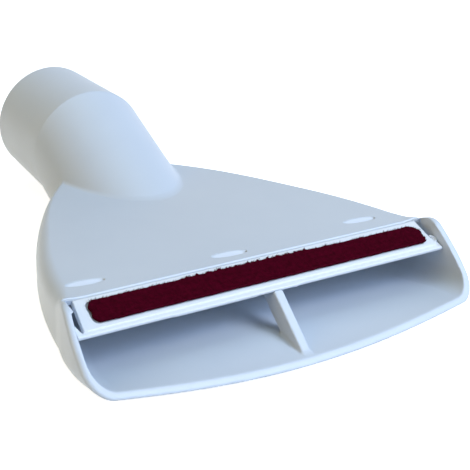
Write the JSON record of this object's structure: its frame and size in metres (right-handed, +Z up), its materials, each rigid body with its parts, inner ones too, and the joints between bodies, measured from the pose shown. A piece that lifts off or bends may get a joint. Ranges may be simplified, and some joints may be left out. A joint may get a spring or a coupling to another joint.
{
  "type": "vacuum upholstery nozzle",
  "caption": "Vacuum cleaner nozzle for upholstery: a flat flared mouth with a velour lint strip, and a round spigot for the hose.",
  "frame": {"origin": "middle of the nozzle's box, on the plane it lies on", "axes": "+Y from the mouth back to the spigot, +X along the mouth, +Z up from the underside"},
  "size_m": [0.1202, 0.162, 0.04],
  "materials": {
    "body": "satin moulded, pale grey-white",
    "carrier": "satin moulded, white",
    "velour": "short dense burgundy pile"
  },
  "bodies": {
    "root": {"nozzle_body": "body", "strip_carrier": "carrier", "velour_strip": "velour"}
  },
  "joints": []
}
